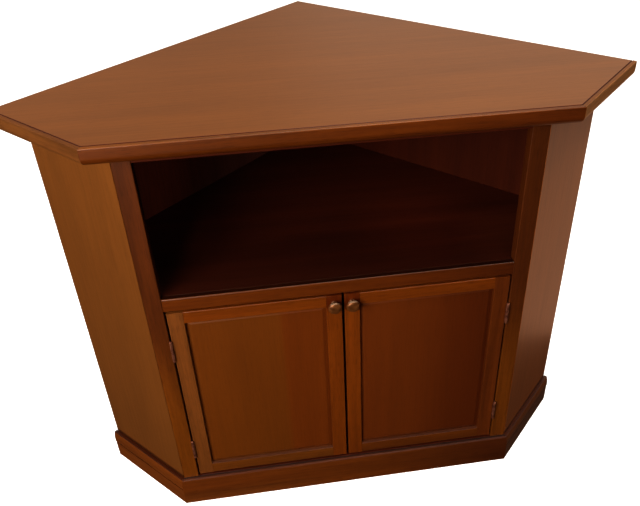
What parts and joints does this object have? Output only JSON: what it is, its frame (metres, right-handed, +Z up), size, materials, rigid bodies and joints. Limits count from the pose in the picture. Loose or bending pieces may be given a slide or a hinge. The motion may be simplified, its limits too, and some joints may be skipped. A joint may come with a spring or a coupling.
{
  "type": "corner television cabinet",
  "caption": "Corner television cabinet in stained mahogany with a five-sided overhanging top, an open compartment and a two-door cupboard on a plinth.",
  "frame": {"origin": "on the floor, under the middle of the top's bounding box", "axes": "+X to the right as seen from the front, +Y to the back corner, +Z up"},
  "size_m": [1.022, 0.672, 0.804],
  "materials": {
    "top_veneer": "gloss varnished mahogany veneer",
    "stained_solid": "gloss stained solid mahogany",
    "side_veneer": "satin stained mahogany veneer",
    "door_veneer": "satin stained mahogany veneer",
    "inside_veneer": "satin dark mahogany veneer",
    "plain_timber": "plain timber",
    "aged_brass": "antique brass",
    "hinge_brass": "dull brass",
    "steel": "zinc plated steel",
    "catch_plastic": "brown moulded plastic"
  },
  "bodies": {
    "cabinet": {"back_corner_post": "plain_timber", "floor_panel": "inside_veneer", "front_bottom_rail": "plain_timber", "front_plinth": "stained_solid", "front_top_lipping": "stained_solid", "front_top_rail": "stained_solid", "left_back_floor_bearer": "plain_timber", "left_back_panel": "inside_veneer", "left_back_shelf_bearer": "inside_veneer", "left_door_catch": "catch_plastic", "left_front_stile": "stained_solid", "left_lower_hinge_cabinet_leaf": "hinge_brass", "left_lower_hinge_pin": "hinge_brass", "left_rear_post": "plain_timber", "left_side_panel": "side_veneer", "left_side_plinth": "stained_solid", "left_side_shelf_bearer": "inside_veneer", "left_top_batten": "plain_timber", "left_top_lipping": "stained_solid", "left_upper_hinge_cabinet_leaf": "hinge_brass", "left_upper_hinge_pin": "hinge_brass", "middle_shelf": "inside_veneer", "right_back_floor_bearer": "plain_timber", "right_back_panel": "inside_veneer", "right_back_shelf_bearer": "inside_veneer", "right_door_catch": "catch_plastic", "right_front_stile": "stained_solid", "right_lower_hinge_cabinet_leaf": "hinge_brass", "right_lower_hinge_pin": "hinge_brass", "right_rear_post": "plain_timber", "right_side_panel": "side_veneer", "right_side_plinth": "stained_solid", "right_side_shelf_bearer": "inside_veneer", "right_top_batten": "plain_timber", "right_top_lipping": "stained_solid", "right_upper_hinge_cabinet_leaf": "hinge_brass", "right_upper_hinge_pin": "hinge_brass", "shelf_lipping": "stained_solid", "top_panel": "top_veneer"},
    "left_door": {"left_door_hinge_stile": "stained_solid", "left_door_meeting_stile": "stained_solid", "left_door_top_rail": "stained_solid", "left_door_bottom_rail": "stained_solid", "left_door_panel": "door_veneer", "left_door_knob": "aged_brass", "left_door_knob_screw": "steel", "left_door_strike": "steel", "left_upper_hinge_door_leaf": "hinge_brass", "left_lower_hinge_door_leaf": "hinge_brass"},
    "right_door": {"right_door_hinge_stile": "stained_solid", "right_door_meeting_stile": "stained_solid", "right_door_top_rail": "stained_solid", "right_door_bottom_rail": "stained_solid", "right_door_panel": "door_veneer", "right_door_knob": "aged_brass", "right_door_knob_screw": "steel", "right_door_strike": "steel", "right_upper_hinge_door_leaf": "hinge_brass", "right_lower_hinge_door_leaf": "hinge_brass"}
  },
  "joints": [
    {"name": "left_door_hinge", "type": "hinge", "parent": "cabinet", "child": "left_door", "pos_m": [-0.29446, -0.2902, 0.27575], "axis": [0, 0, -1], "range_deg": [0, 170]},
    {"name": "right_door_hinge", "type": "hinge", "parent": "cabinet", "child": "right_door", "pos_m": [0.29446, -0.2902, 0.27575], "axis": [0, 0, 1], "range_deg": [0, 170]}
  ]
}
